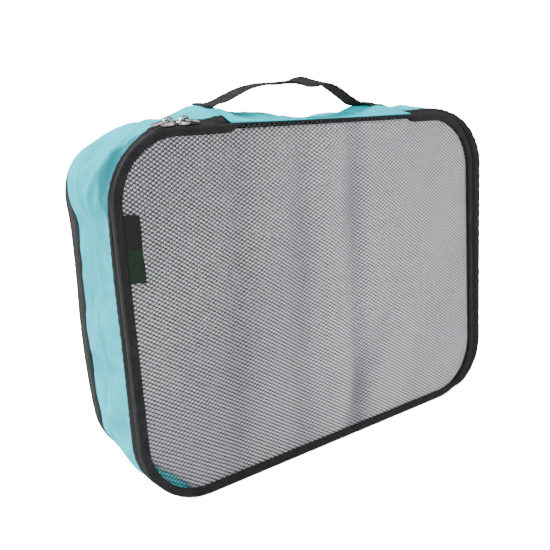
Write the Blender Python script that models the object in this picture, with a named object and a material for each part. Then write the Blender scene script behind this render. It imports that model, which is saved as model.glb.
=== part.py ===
"""Packing cube: a soft rectangular travel case with a net lid, a two-way zip and a carry handle.

Metres, +Z up. The cube stands on its long side: +X along its length, the net lid faces -Y,
and the origin is under the middle of the cube, on the surface it stands on.
"""
import math

import bmesh
import bpy
from mathutils import Matrix, Vector

# ---- driving dimensions -------------------------------------------------------------------
LENGTH = 0.350              # outside, along X
DEPTH = 0.088               # outside, along Y
HEIGHT = 0.260              # outside, along Z, without the handle
CORNER_RADIUS = 0.050       # outside radius of the four corners, seen from the front
ARC_STEPS = 10              # flat facets in one corner
GAP = 0.0003                # clearance between neighbouring pieces

SHEET = 0.0010              # thickness of a sewn fabric wall
SEAM_LEFT = -0.083          # where the side fabric meets the hinge fabric, on the top
SEAM_RIGHT = 0.096
TOP_CROWN = 0.0120          # how far the filled top stands up beside the handle's feet
TOP_DIP = 0.0010            # what is left of that crown in the middle of the top
CROWN_PEAK_X = 0.085        # where along the top the crown is highest
CROWN_FADE = 0.092          # distance from the peak to where the crown has faded out

NET_INSET = 0.0026          # edge of the net, inside the outline
NET_LAYER = (0.0008, 0.0015)    # the net lies between these distances behind the lid's front
BORDER = 0.0062             # visible width of the lid's edging tape
LID_EDGING = 0.0005         # its thickness
EDGING = 0.0052             # width of the back's edging tape, along Y
EDGING_DEPTH = 0.0026       # how far it reaches in over the back panel's edge
PANEL_INSET = 0.0030        # edge of the back panel, inside the outline
PANEL_SUNK = 0.0005         # the panel lies this far in from the edging

CHAIN_Y = 0.0036            # from the lid's front to the middle of the zip chain
CHAIN_SPLIT = 0.0016        # room between the two coils, for the slider's divider
COIL = 0.0012               # width of one coil
TAPE_BOX = 0.0126           # width of the zip tape sewn to the case
ZIP_END_LEFT = -0.0948      # the chain's end beside the left seam
ZIP_END_RIGHT = 0.1010      # the chain's end beside the right seam
FIXED_TAPE_ANGLE = 17.0     # the lid's tape stays with the case as far round the corner as this

SLIDER_LENGTH = 0.0100
SLIDER_WIDTH = 0.0072
PLATE_TOP = 0.0022          # heights are from the outline of the case, outwards
SLOT_TOP = 0.0007
SLOT_FOOT = -0.0027
PLATE_FOOT = -0.0037
PLATE_CHAMFER = 0.0005
TAIL_HALF = 0.0024
NOSE_HALF = 0.0026
LEFT_SLIDER_ANGLE = 5.7     # place of the left slider on the corner, from the top
RIGHT_SLIDER_X = -0.1185    # place of the right slider on the straight top
DIVIDER = 0.0008            # width of the post between the two coils
DIVIDER_LENGTH = 0.0030
LID_ROOM = 0.0018           # the inner plate reaches this far under the lid's side of the chain
LOOP_RISE = 0.0036          # height of the slider's loop above its top plate
LOOP_WIDTH = 0.0022
LOOP_STOCK = 0.0009
LOOP_REACH = 0.0036         # half its length
LOOP_BEVEL = 0.0012
BAR_RISE = 0.0013           # middle of the pull's bar above the foot of the loop
PULL_LENGTH = 0.0150
PULL_RIM = 0.0010           # stock beside the pull's window
PULL_CORNER = 0.0020
PULL_WIDTH = 0.0052
PULL_STOCK = 0.0009
PULL_WINDOW = 0.0046        # length of the pull's hole, from its cross bar

HANDLE_Y = -0.009           # middle line of the handle
HANDLE_WIDTH = 0.0220
WEBBING = 0.0016
FOOT_INNER = 0.070          # the sewn feet reach from here
FOOT_OUTER = 0.093          # to here
FOOT_STEP = 0.0058
HANDLE_TOP = 0.2905         # middle of the strap at its highest
HANDLE_LOW = 0.2738         # middle of the strap where it leaves a foot
HANDLE_POWER = 2.8          # how suddenly the strap drops towards its feet
STRAP_END = 0.055           # the freely swinging part ends here and the bending leg starts

LABEL_WIDTH = 0.0095
LABEL_HEIGHT = 0.0440
LABEL_TOP = 0.2070
LABEL_SHEET = 0.0005

FRONT = -DEPTH / 2.0
BACK = DEPTH / 2.0
HALF = LENGTH / 2.0
CENTRE_X = HALF - CORNER_RADIUS
CENTRE_LOW = CORNER_RADIUS
CENTRE_HIGH = HEIGHT - CORNER_RADIUS
CHAIN = FRONT + CHAIN_Y
TAPE_FRONT = CHAIN + CHAIN_SPLIT / 2.0
GUSSET_FRONT = FRONT + 0.0145
GUSSET_BACK = BACK - EDGING - GAP
GUSSET_STEPS = 8
TOP_STEP = 0.009
TAPE_DEPTH = (0.0015, 0.0022)
COIL_DEPTH = (GAP, 0.0012)
SEAM_TAPE_DEPTH = (0.0016, 0.0022)
SEAM_TAPE_HALF = 0.005
SEAM_TAPE_INSET = 0.003
LID_TAPE_FRONT = FRONT + 0.0009
LID_TAPE_BACK = CHAIN - CHAIN_SPLIT / 2.0
HINGE_EDGE = FRONT + 0.0012
STOP_HALF = 0.0010
STOP_DEPTH = (-0.0003, 0.0012)


# ---- scene and materials ------------------------------------------------------------------
def clear_scene():
    for item in list(bpy.data.objects):
        bpy.data.objects.remove(item, do_unlink=True)


def material(name, colour, roughness, metallic=0.0):
    result = bpy.data.materials.new(name)
    result.use_nodes = True
    shader = result.node_tree.nodes["Principled BSDF"]
    shader.inputs["Base Color"].default_value = (*colour, 1.0)
    shader.inputs["Roughness"].default_value = roughness
    shader.inputs["Metallic"].default_value = metallic
    return result


def make_materials():
    return {
        "nylon": material("nylon", (0.235, 0.640, 0.720), 0.42),
        "tape": material("tape", (0.020, 0.021, 0.023), 0.80),
        "coil": material("coil", (0.014, 0.014, 0.016), 0.45),
        "net": material("net", (0.290, 0.300, 0.320), 0.75),
        "webbing": material("webbing", (0.028, 0.030, 0.031), 0.75),
        "nickel": material("nickel", (0.640, 0.620, 0.590), 0.28, 1.0),
        "label": material("label", (0.012, 0.030, 0.018), 0.60),
    }


def add_object(name, mesh, skin, place=None):
    item = bpy.data.objects.new(name, mesh)
    bpy.context.scene.collection.objects.link(item)
    item.data.materials.append(skin)
    if place is not None:
        item.matrix_world = place
    return item


def mesh_from(name, work):
    bmesh.ops.recalc_face_normals(work, faces=work.faces)
    mesh = bpy.data.meshes.new(name)
    work.to_mesh(mesh)
    work.free()
    mesh.shade_smooth()
    mesh.set_sharp_from_angle(angle=math.radians(35.0))
    return mesh


# ---- the outline, as stations round the case ----------------------------------------------
# A station is (centre x, centre z, angle, distance along the top from its middle). The point at
# depth d inside the outline is the centre plus (CORNER_RADIUS - d) along the angle.
def top_station(x):
    return (x, CENTRE_HIGH, math.radians(90.0), x)


def arc(centre_x, centre_z, first, last, side):
    stations = []
    steps = max(2, round(abs(last - first) / 90.0 * ARC_STEPS))
    for step in range(steps + 1):
        degrees = first + (last - first) * step / steps
        away = abs(90.0 - (degrees if side > 0 or degrees <= 180.0 else 180.0))
        along = side * (CENTRE_X + CORNER_RADIUS * math.radians(away))
        stations.append((centre_x, centre_z, math.radians(degrees), along))
    return stations


def top_left_arc(first=90.0):
    return arc(-CENTRE_X, CENTRE_HIGH, first, 180.0, -1.0)


def lower_arcs():
    stations = []
    for centre_x, first in ((-CENTRE_X, 180.0), (CENTRE_X, 270.0)):
        for step in range(ARC_STEPS + 1):
            angle = math.radians(first + 90.0 * step / ARC_STEPS)
            stations.append((centre_x, CENTRE_LOW, angle, LENGTH))
    return stations


def top_right_arc(last=90.0):
    return arc(CENTRE_X, CENTRE_HIGH, 0.0, last, 1.0)


def top_run(first, last, step=TOP_STEP):
    count = max(1, round(abs(last - first) / step))
    return [top_station(first + (last - first) * i / count) for i in range(count + 1)]


def round_the_case(left, right):
    """From x = left on the top, down the left side, along the bottom, and up to x = right."""
    stations = top_run(left, -CENTRE_X)[:-1] + top_left_arc() + lower_arcs()
    return stations + top_right_arc() + top_run(CENTRE_X, right)[1:]


def whole_outline():
    return top_left_arc() + lower_arcs() + top_right_arc()


def crown(along, y):
    """Outward swell of the filled top, at a distance along the top and a depth."""
    if y <= GUSSET_FRONT or y >= GUSSET_BACK:
        return 0.0
    distance = abs(along)
    if distance < CROWN_PEAK_X:
        share = 0.5 - 0.5 * math.cos(math.pi * distance / CROWN_PEAK_X)
        height = TOP_DIP + (TOP_CROWN - TOP_DIP) * share
    else:
        beyond = min(1.0, (distance - CROWN_PEAK_X) / CROWN_FADE)
        height = TOP_CROWN * (0.5 + 0.5 * math.cos(math.pi * beyond))
    return height * math.sin(math.pi * (y - GUSSET_FRONT) / (GUSSET_BACK - GUSSET_FRONT))


def station_point(station, depth, y, swell=False):
    centre_x, centre_z, angle, along = station
    radius = CORNER_RADIUS - depth + (crown(along, y) if swell else 0.0)
    return (centre_x + radius * math.cos(angle), y, centre_z + radius * math.sin(angle))


def band_profile(outer, inner, y0, y1, steps=1):
    """Closed profile of a band: (depth, y) pairs along its outside and back along its inside."""
    ys = [y0 + (y1 - y0) * i / steps for i in range(steps + 1)]
    return [(outer, y) for y in ys] + [(inner, y) for y in reversed(ys)]


def sweep(name, stations, profile, closed=False, swell=False):
    """Closed solid swept along stations; its ends are capped unless it is a ring."""
    work = bmesh.new()
    rings = []
    for station in stations:
        points = [station_point(station, depth, y, swell) for depth, y in profile]
        rings.append([work.verts.new(point) for point in points])
    count = len(profile)
    pairs = list(zip(rings, rings[1:]))
    if closed:
        pairs.append((rings[-1], rings[0]))
    for first, second in pairs:
        for i in range(count):
            j = (i + 1) % count
            work.faces.new((first[i], first[j], second[j], second[i]))
    if not closed:
        for ring in (rings[0], rings[-1]):
            cap_strip(work, ring)
    return mesh_from(name, work)


def cap_strip(work, ring):
    """Fill the end of a band with quads that join its outside to its inside."""
    half = len(ring) // 2
    for i in range(half - 1):
        work.faces.new((ring[i], ring[i + 1], ring[-2 - i], ring[-1 - i]))


# ---- case -----------------------------------------------------------------------------------
def flat_panel(name, inset, y0, y1, skin):
    """Closed flat sheet with the case's outline, between two depths."""
    work = bmesh.new()
    rings = []
    for y in (y0, y1):
        rings.append([work.verts.new(station_point(s, inset, y)) for s in whole_outline()])
        work.faces.new(rings[-1])
    near, far = rings
    for i in range(len(near)):
        j = (i + 1) % len(near)
        work.faces.new((near[i], near[j], far[j], far[i]))
    add_object(name, mesh_from(name, work), skin)


def back_panel(skin):
    outer = BACK - PANEL_SUNK
    flat_panel("back_panel", PANEL_INSET, outer - SHEET, outer, skin)


def back_edging(skin):
    profile = band_profile(GAP, EDGING_DEPTH, BACK - EDGING, BACK)
    add_object("back_edging", sweep("back_edging", whole_outline(), profile, True), skin)


def side_gusset(skin):
    profile = band_profile(0.0, SHEET, GUSSET_FRONT, GUSSET_BACK, GUSSET_STEPS)
    stations = round_the_case(SEAM_LEFT - GAP / 2.0, SEAM_RIGHT + GAP / 2.0)
    add_object("side_gusset", sweep("side_gusset", stations, profile, swell=True), skin)


def hinge_gusset(skin):
    profile = band_profile(0.0, SHEET, GUSSET_FRONT, GUSSET_BACK, GUSSET_STEPS)
    profile = [(0.0, HINGE_EDGE)] + profile + [(SHEET, HINGE_EDGE)]
    stations = top_run(SEAM_LEFT + GAP / 2.0, SEAM_RIGHT - GAP / 2.0)
    add_object("hinge_gusset", sweep("hinge_gusset", stations, profile, swell=True), skin)


def seam_tape(name, seam, skin):
    front = GUSSET_FRONT + SEAM_TAPE_INSET
    back = GUSSET_BACK - SEAM_TAPE_INSET
    profile = band_profile(*SEAM_TAPE_DEPTH, front, back, GUSSET_STEPS)
    stations = top_run(seam - SEAM_TAPE_HALF, seam + SEAM_TAPE_HALF, SEAM_TAPE_HALF)
    add_object(name, sweep(name, stations, profile, swell=True), skin)


def case_zip(skins):
    tape = band_profile(*TAPE_DEPTH, TAPE_FRONT, TAPE_FRONT + TAPE_BOX)
    stations = round_the_case(SEAM_LEFT - GAP, SEAM_RIGHT + GAP)
    add_object("zip_tape_case", sweep("zip_tape_case", stations, tape), skins["tape"])
    coil = band_profile(*COIL_DEPTH, TAPE_FRONT, TAPE_FRONT + COIL)
    stations = round_the_case(ZIP_END_LEFT, ZIP_END_RIGHT + 2.0 * GAP)
    add_object("zip_coil_case", sweep("zip_coil_case", stations, coil), skins["coil"])


def fixed_lid_zip(skins):
    """The stretch of the lid's tape that the parked sliders hold to the case."""
    last = 90.0 + FIXED_TAPE_ANGLE - 0.4
    corner = arc(-CENTRE_X, CENTRE_HIGH, 90.0, last, -1.0)
    tape = band_profile(*TAPE_DEPTH, LID_TAPE_FRONT, LID_TAPE_BACK)
    stations = top_run(SEAM_LEFT - GAP, -CENTRE_X)[:-1] + corner
    add_object("zip_tape_lid_end", sweep("zip_tape_lid_end", stations, tape), skins["tape"])
    coil = band_profile(*COIL_DEPTH, LID_TAPE_BACK - COIL, LID_TAPE_BACK)
    stations = top_run(ZIP_END_LEFT, -CENTRE_X)[:-1] + corner
    add_object("zip_coil_lid_end", sweep("zip_coil_lid_end", stations, coil), skins["coil"])


def zip_stop(name, x, y0, y1, skin):
    profile = band_profile(*STOP_DEPTH, y0, y1)
    stations = [top_station(x - STOP_HALF), top_station(x + STOP_HALF)]
    add_object(name, sweep(name, stations, profile), skin)


# ---- lid ------------------------------------------------------------------------------------
def net_panel(skin):
    flat_panel("net_panel", NET_INSET, FRONT + NET_LAYER[0], FRONT + NET_LAYER[1], skin)


def lid_edging(skin):
    profile = band_profile(GAP, BORDER, FRONT, FRONT + LID_EDGING)
    add_object("lid_edging", sweep("lid_edging", whole_outline(), profile, True), skin)


def lid_zip(skins):
    corner = top_left_arc(90.0 + FIXED_TAPE_ANGLE)
    around = corner + lower_arcs() + top_right_arc()
    tape = band_profile(*TAPE_DEPTH, LID_TAPE_FRONT, LID_TAPE_BACK)
    stations = around + top_run(CENTRE_X, SEAM_RIGHT + GAP)[1:]
    add_object("zip_tape_lid", sweep("zip_tape_lid", stations, tape), skins["tape"])
    coil = band_profile(*COIL_DEPTH, LID_TAPE_BACK - COIL, LID_TAPE_BACK)
    stations = around + top_run(CENTRE_X, ZIP_END_RIGHT + 2.0 * GAP)[1:]
    add_object("zip_coil_lid", sweep("zip_coil_lid", stations, coil), skins["coil"])


def box_mesh(name, low, high):
    work = bmesh.new()
    add_box(work, low, high)
    return mesh_from(name, work)


def add_box(work, low, high):
    size = Vector(high) - Vector(low)
    middle = (Vector(high) + Vector(low)) / 2.0
    place = Matrix.Translation(middle) @ Matrix.Diagonal((*size, 1.0))
    bmesh.ops.create_cube(work, size=1.0, matrix=place)


def side_label(skin):
    left = -HALF + BORDER + GAP
    low = (left, FRONT, LABEL_TOP - LABEL_HEIGHT)
    high = (left + LABEL_WIDTH, FRONT + LABEL_SHEET, LABEL_TOP)
    add_object("side_label", box_mesh("side_label", low, high), skin)


# ---- sliders and pulls ----------------------------------------------------------------------
# A slider is drawn with its nose towards +X, Z out of the case, and z = 0 on the outline.
def outline_mesh(name, sections):
    """Solid from equal closed sections, joined in order, with flat ends."""
    work = bmesh.new()
    rings = [[work.verts.new(point) for point in section] for section in sections]
    count = len(rings[0])
    for first, second in zip(rings, rings[1:]):
        for i in range(count):
            j = (i + 1) % count
            work.faces.new((first[i], first[j], second[j], second[i]))
    work.faces.new(rings[0])
    work.faces.new(rings[-1])
    return mesh_from(name, work)


def plate_outline(chamfer):
    """Plan of a slider plate: a narrow tail, full shoulders and a cut-back nose."""
    end = SLIDER_LENGTH / 2.0
    side = SLIDER_WIDTH / 2.0 - chamfer
    tail = (-end + chamfer, TAIL_HALF - chamfer)
    nose = (end - chamfer, NOSE_HALF - chamfer)
    right = [tail, (-end * 0.35, side), (end * 0.6, side), nose]
    return right + [(x, -y) for x, y in reversed(right)]


def slider_body_mesh(name, lid_side):
    """Two plates joined by the divider: a block cut by the zip's slots and clear of the lid."""
    body = bpy.data.objects.new(name + "_block", slider_block(name))
    bpy.context.scene.collection.objects.link(body)
    nose = SLIDER_LENGTH / 2.0
    slot = (SLOT_FOOT, SLOT_TOP)
    cut_box(body, (-SLIDER_LENGTH, -SLIDER_WIDTH, nose - DIVIDER_LENGTH), slot)
    for sign in (-1.0, 1.0):
        cut_box(body, (-SLIDER_LENGTH, sign * DIVIDER / 2.0, SLIDER_LENGTH), slot, sign)
    below = (2.0 * PLATE_FOOT, SLOT_TOP)
    cut_box(body, (-SLIDER_LENGTH, lid_side * LID_ROOM, SLIDER_LENGTH), below, lid_side)
    depsgraph = bpy.context.evaluated_depsgraph_get()
    mesh = bpy.data.meshes.new_from_object(body.evaluated_get(depsgraph))
    for item in [body] + [i for i in bpy.data.objects if i.name.startswith("slot_cutter")]:
        bpy.data.objects.remove(item, do_unlink=True)
    mesh.name = name
    mesh.shade_smooth()
    mesh.set_sharp_from_angle(angle=math.radians(35.0))
    return mesh


def slider_block(name):
    levels = ((PLATE_FOOT, PLATE_CHAMFER), (PLATE_FOOT + PLATE_CHAMFER, 0.0),
              (PLATE_TOP - PLATE_CHAMFER, 0.0), (PLATE_TOP, PLATE_CHAMFER))
    sections = []
    for height, chamfer in levels:
        sections.append([(x, y, height) for x, y in plate_outline(chamfer)])
    return outline_mesh(name + "_block", sections)


def cut_box(body, limits, heights, sign=0.0):
    """Cut along x between two limits: across the whole slider, or from y outwards on one side."""
    first, y, last = limits
    far = sign * SLIDER_WIDTH if sign else SLIDER_WIDTH
    work = bmesh.new()
    add_box(work, (first, min(y, far), heights[0]), (last, max(y, far), heights[1]))
    add_boolean(body, mesh_from("slot", work), "slot_cutter")


def add_boolean(body, mesh, name):
    cutter = bpy.data.objects.new(name, mesh)
    bpy.context.scene.collection.objects.link(cutter)
    cutter.hide_render = True
    cutter.display_type = "WIRE"
    cut = body.modifiers.new(name, "BOOLEAN")
    cut.operation = "DIFFERENCE"
    cut.solver = "EXACT"
    cut.object = cutter


def arch(half, base, top, bevel):
    """Outline of one side of the loop, from foot to foot: (x, z) pairs."""
    left = [(-half, base), (-half, top - bevel), (-half + bevel, top)]
    return left + [(-x, z) for x, z in reversed(left)]


def slider_loop_mesh(name):
    """The bridge that holds the pull: a low arch along the slider."""
    base = PLATE_TOP + GAP
    top = base + LOOP_RISE
    outer = arch(LOOP_REACH, base, top, LOOP_BEVEL)
    inner = arch(LOOP_REACH - LOOP_STOCK, base, top - LOOP_STOCK, LOOP_BEVEL / 2.0)
    work = bmesh.new()
    sides = []
    for y in (-LOOP_WIDTH / 2.0, LOOP_WIDTH / 2.0):
        sides.append([[work.verts.new((x, y, z)) for x, z in line] for line in (outer, inner)])
    (outer_a, inner_a), (outer_b, inner_b) = sides
    for i in range(len(outer) - 1):
        work.faces.new((outer_a[i], outer_a[i + 1], outer_b[i + 1], outer_b[i]))
        work.faces.new((inner_a[i], inner_a[i + 1], inner_b[i + 1], inner_b[i]))
        work.faces.new((outer_a[i], outer_a[i + 1], inner_a[i + 1], inner_a[i]))
        work.faces.new((outer_b[i], outer_b[i + 1], inner_b[i + 1], inner_b[i]))
    for i in (0, len(outer) - 1):
        work.faces.new((outer_a[i], outer_b[i], inner_b[i], inner_a[i]))
    return mesh_from(name, work)


def pull_height():
    return PLATE_TOP + GAP + BAR_RISE


def pull_mesh(name):
    """Pull plate with a window, hung by the bar at the window's end; the bar is at the origin."""
    half = PULL_WIDTH / 2.0
    bar = PULL_STOCK / 2.0
    neck = half - PULL_RIM
    end = PULL_LENGTH
    outside = [(-bar, half), (-bar, -half), (end * 0.45, -half), (end - PULL_CORNER, -half)]
    outside += [(end, PULL_CORNER - half), (end, half - PULL_CORNER)]
    outside += [(end - PULL_CORNER, half), (end * 0.45, half)]
    window = [(bar, neck), (bar, -neck), (PULL_WINDOW, -neck), (PULL_WINDOW, neck)]
    work = bmesh.new()
    layers = []
    for z in (-bar, bar):
        layers.append(([work.verts.new((-x, y, z)) for x, y in outside],
                       [work.verts.new((-x, y, z)) for x, y in window]))
    for outer, inner in layers:
        work.faces.new((outer[0], outer[1], inner[1], inner[0]))
        work.faces.new((outer[1], outer[2], inner[2], inner[1]))
        work.faces.new((outer[7], outer[0], inner[0], inner[3]))
        work.faces.new((outer[2], outer[3], outer[4], outer[5], outer[6], outer[7],
                        inner[3], inner[2]))
    for ring_a, ring_b in zip(layers[0], layers[1]):
        count = len(ring_a)
        for i in range(count):
            j = (i + 1) % count
            work.faces.new((ring_a[i], ring_a[j], ring_b[j], ring_b[i]))
    return mesh_from(name, work)


def left_slider_place():
    turn = math.radians(LEFT_SLIDER_ANGLE)
    x = -CENTRE_X - CORNER_RADIUS * math.sin(turn)
    z = CENTRE_HIGH + CORNER_RADIUS * math.cos(turn)
    return Matrix.Translation((x, CHAIN, z)) @ Matrix.Rotation(-turn, 4, "Y")


def right_slider_place():
    """The right slider is turned end for end, so that the two noses meet."""
    return Matrix.Translation((RIGHT_SLIDER_X, CHAIN, HEIGHT)) @ Matrix.Rotation(math.pi, 4, "Z")


def slider(name, place, lid_side, skin):
    add_object(name + "_body", slider_body_mesh(name + "_body", lid_side), skin, place)
    add_object(name + "_loop", slider_loop_mesh(name + "_loop"), skin, place)
    bar = place @ Matrix.Translation((0.0, 0.0, pull_height()))
    add_object(name + "_pull", pull_mesh(name + "_pull"), skin, bar)


# ---- handle ---------------------------------------------------------------------------------
def strap_height(x):
    return HANDLE_TOP - (HANDLE_TOP - HANDLE_LOW) * abs(x / FOOT_INNER) ** HANDLE_POWER


def strap_section(x):
    step = 0.0005
    slope = (strap_height(x + step) - strap_height(x - step)) / (2.0 * step)
    across = Vector((-slope, 0.0, 1.0)).normalized() * WEBBING / 2.0
    middle = Vector((x, HANDLE_Y, strap_height(x)))
    side = Vector((0.0, HANDLE_WIDTH / 2.0, 0.0))
    corners = ((-1, -1), (1, -1), (1, 1), (-1, 1))
    return [tuple(middle + side * s + across * a) for s, a in corners]


def strap_run(name, first, last, steps, skin):
    xs = [first + (last - first) * i / steps for i in range(steps + 1)]
    sections = [strap_section(x) for x in xs]
    add_object(name, outline_mesh(name, sections), skin)


def handle_foot(name, side, skin):
    y0 = HANDLE_Y - HANDLE_WIDTH / 2.0
    y1 = HANDLE_Y + HANDLE_WIDTH / 2.0
    profile = band_profile(-GAP - WEBBING, -GAP, y0, y1, 4)
    stations = top_run(side * (FOOT_INNER + 2.0 * GAP), side * FOOT_OUTER, FOOT_STEP)
    add_object(name, sweep(name, stations, profile, swell=True), skin)


def handle(skins):
    strap_run("handle_strap", -STRAP_END, STRAP_END, 20, skins["webbing"])
    for name, side in (("left", -1.0), ("right", 1.0)):
        handle_foot("handle_foot_" + name, side, skins["webbing"])
        strap_run("handle_leg_" + name, side * (STRAP_END + GAP), side * (FOOT_INNER - GAP), 4,
                  skins["webbing"])


# ---- assembly -------------------------------------------------------------------------------
def build():
    clear_scene()
    skins = make_materials()
    back_panel(skins["nylon"])
    back_edging(skins["tape"])
    side_gusset(skins["nylon"])
    hinge_gusset(skins["nylon"])
    seam_tape("seam_tape_left", SEAM_LEFT, skins["tape"])
    seam_tape("seam_tape_right", SEAM_RIGHT, skins["tape"])
    case_zip(skins)
    fixed_lid_zip(skins)
    back_edge = TAPE_FRONT + COIL
    front_edge = LID_TAPE_BACK - COIL
    beyond = STOP_HALF + 2.0 * GAP
    zip_stop("zip_stop_left", ZIP_END_LEFT + beyond, front_edge, back_edge, skins["nickel"])
    zip_stop("zip_stop_right", ZIP_END_RIGHT - beyond, CHAIN + GAP, back_edge, skins["nickel"])
    net_panel(skins["net"])
    lid_edging(skins["tape"])
    lid_zip(skins)
    side_label(skins["label"])
    slider("slider_left", left_slider_place(), -1.0, skins["nickel"])
    slider("slider_right", right_slider_place(), 1.0, skins["nickel"])
    handle(skins)


build()
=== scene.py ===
"""Packing cube: the cloth, net, zip, handle and studio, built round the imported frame.

Metres, in the frame's own axes: +X along the cube, the net lid faces -Y, +Z up.
"""
import math

import bmesh
import bpy
import numpy as np
from mathutils import Matrix, Vector


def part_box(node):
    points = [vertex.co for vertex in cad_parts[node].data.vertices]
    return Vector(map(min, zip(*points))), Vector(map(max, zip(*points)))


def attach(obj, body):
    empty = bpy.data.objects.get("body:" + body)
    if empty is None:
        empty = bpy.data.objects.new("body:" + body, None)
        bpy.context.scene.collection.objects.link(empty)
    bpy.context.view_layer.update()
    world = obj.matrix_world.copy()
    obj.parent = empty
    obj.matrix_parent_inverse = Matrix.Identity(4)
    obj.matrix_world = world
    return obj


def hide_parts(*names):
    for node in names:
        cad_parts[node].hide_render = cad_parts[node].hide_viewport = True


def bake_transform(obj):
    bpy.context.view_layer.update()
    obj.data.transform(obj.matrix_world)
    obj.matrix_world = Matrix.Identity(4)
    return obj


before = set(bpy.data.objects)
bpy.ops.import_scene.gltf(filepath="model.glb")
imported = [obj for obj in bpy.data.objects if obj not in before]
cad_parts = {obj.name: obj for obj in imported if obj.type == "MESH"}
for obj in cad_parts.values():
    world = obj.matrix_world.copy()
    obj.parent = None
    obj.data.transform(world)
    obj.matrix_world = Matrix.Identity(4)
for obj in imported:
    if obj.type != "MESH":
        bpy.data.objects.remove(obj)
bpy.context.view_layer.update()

# ---- sizes read from the frame ----
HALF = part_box("side_gusset")[1].x
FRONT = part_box("lid_edging")[0].y
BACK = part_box("back_edging")[1].y
HEIGHT = 0.260
MIDDLE = HEIGHT / 2.0
RADIUS = 0.050
CENTRE_X = HALF - RADIUS
CENTRE_LOW = RADIUS
CENTRE_HIGH = HEIGHT - RADIUS
QUARTER = RADIUS * math.pi / 2.0
STOPS = np.cumsum([0.0, CENTRE_X, QUARTER, CENTRE_HIGH - CENTRE_LOW, QUARTER, CENTRE_X])
HALFWAY = float(STOPS[-1])          # half the way round the outline
DEPTH = BACK - FRONT

# ---- how the filled cube stands ----
# Each table pairs a distance along the outline, from the middle of the top, with a value there.
# Swell of the filled top.
CROWN = ((-0.23, 0), (-0.21, 0.0004), (-0.194, 0.0056), (-0.174, 0.0088), (-0.155, 0.0056),
         (-0.135, 0.0042), (-0.11, 0.0074), (-0.085, 0.0125), (-0.06, 0.01), (-0.03, 0.0055),
         (0.012, 0.0016), (0.05, 0.005), (0.085, 0.0098), (0.11, 0.009), (0.14, 0.0052),
         (0.18, 0.0025), (0.2, 0))
# How far the back seam lies in from the outline.
TAPER = ((-0.56, 0.001), (-0.47, 0.003), (-0.42, 0.0094), (-0.385, 0.0058), (-0.35, 0.0024),
         (-0.3, 0.001), (-0.24, 0.003), (-0.214, 0.0032), (-0.192, 0.0016), (-0.172, 0),
         (-0.15, 0.002), (-0.125, 0.001))
# Width of the zip band, from the lid's edge to the nylon.
BAND = ((-0.36, 0.012), (-0.3, 0.0104), (-0.24, 0.0102), (-0.218, 0.0088), (-0.196, 0.0064),
        (-0.154, 0.0064), (-0.136, 0.0088), (-0.12, 0.0106), (-0.09, 0.011), (0.1, 0.0112),
        (0.16, 0.0118), (0.22, 0.012), (0.3, 0.0106), (0.36, 0.0098), (0.42, 0.0128))
# Degrees by which the zip band leans outwards.
TURN = ((-0.165, 0), (-0.148, 5), (-0.136, 16), (-0.124, 18), (-0.11, 18), (-0.103, 18), (-0.097, 19),
        (-0.088, 27), (-0.079, 27), (-0.06, 13), (-0.03, 4), (0.06, 3), (0.09, 14), (0.112, 17),
        (0.135, 24), (0.15, 40), (0.168, 66), (0.19, 82), (0.215, 82), (0.25, 82), (0.35, 82),
        (0.38, 80), (0.402, 66), (0.425, 40), (0.45, 14), (0.48, 0))
BAND_WIDEST = max(width for _, width in BAND)
BAND_LEFT = BAND[0][1]
WALL_END = DEPTH - 0.005            # the nylon wall ends here, under the back binding
SEAM_LEFT, SEAM_RIGHT = -0.083, 0.096

# ---- zip ----
CHAIN = 0.0036                      # middle of the chain, back from the lid's edge
TOOTH_PITCH = 0.00145
TEETH_END_LEFT, TEETH_END_RIGHT = -0.0948, 0.1010
PARKED = -CENTRE_X - RADIUS * math.radians(17.0)


def smooth(low, high, value):
    share = np.clip((value - low) / (high - low), 0.0, 1.0)
    return share * share * (3.0 - 2.0 * share)


def between(start, full, ending, end, value):
    """1 from full to ending, easing to 0 at start and at end."""
    return smooth(start, full, value) * (1.0 - smooth(ending, end, value))


def joined(*values):
    """Points from their coordinates, which may each be a number, a line or a grid."""
    return np.stack(np.broadcast_arrays(*values), -1)


def wrapped(s):
    """The same place on the outline, as a distance from the middle of the top: right is positive."""
    return (np.asarray(s, float) + HALFWAY) % (2.0 * HALFWAY) - HALFWAY


def curve(knots, at):
    """A smooth curve through (place, value) pairs, level beyond its ends."""
    xs, values = np.array(knots, float).T
    slopes = np.gradient(values, xs)
    slopes[[0, -1]] = 0.0
    at = np.clip(at, xs[0], xs[-1])
    i = np.clip(np.searchsorted(xs, at) - 1, 0, len(xs) - 2)
    h = xs[i + 1] - xs[i]
    t = (at - xs[i]) / h
    return ((2 * t ** 3 - 3 * t ** 2 + 1) * values[i] + (t ** 3 - 2 * t ** 2 + t) * h * slopes[i]
            + (3 * t ** 2 - 2 * t ** 3) * values[i + 1] + (t ** 3 - t ** 2) * h * slopes[i + 1])


# ---- the outline and the soft shell over it ----
def outline(s):
    """Side, centre and angle of the outline at distances s from the middle of the top."""
    s = wrapped(s)
    along = np.abs(s)
    side = np.where(s < 0.0, -1.0, 1.0)
    x = np.interp(along, STOPS, [0.0, CENTRE_X, CENTRE_X, CENTRE_X, CENTRE_X, 0.0])
    z = np.interp(along, STOPS, [CENTRE_HIGH] * 3 + [CENTRE_LOW] * 3)
    angle = np.interp(along, STOPS, [math.pi / 2, math.pi / 2, 0.0, 0.0, -math.pi / 2, -math.pi / 2])
    return side, x, z, angle


def shell(s, out, y):
    """Points standing out from the outline by out, at depth y."""
    side, x, z, angle = outline(s)
    reach = RADIUS + out
    return joined(side * (x + reach * np.cos(angle)), y, z + reach * np.sin(angle))


def turned(s):
    """How far the zip band leans outwards from the side it lies on, in radians."""
    return np.radians(curve(TURN, wrapped(s)))


def band(s):
    return curve(BAND, wrapped(s))


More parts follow.
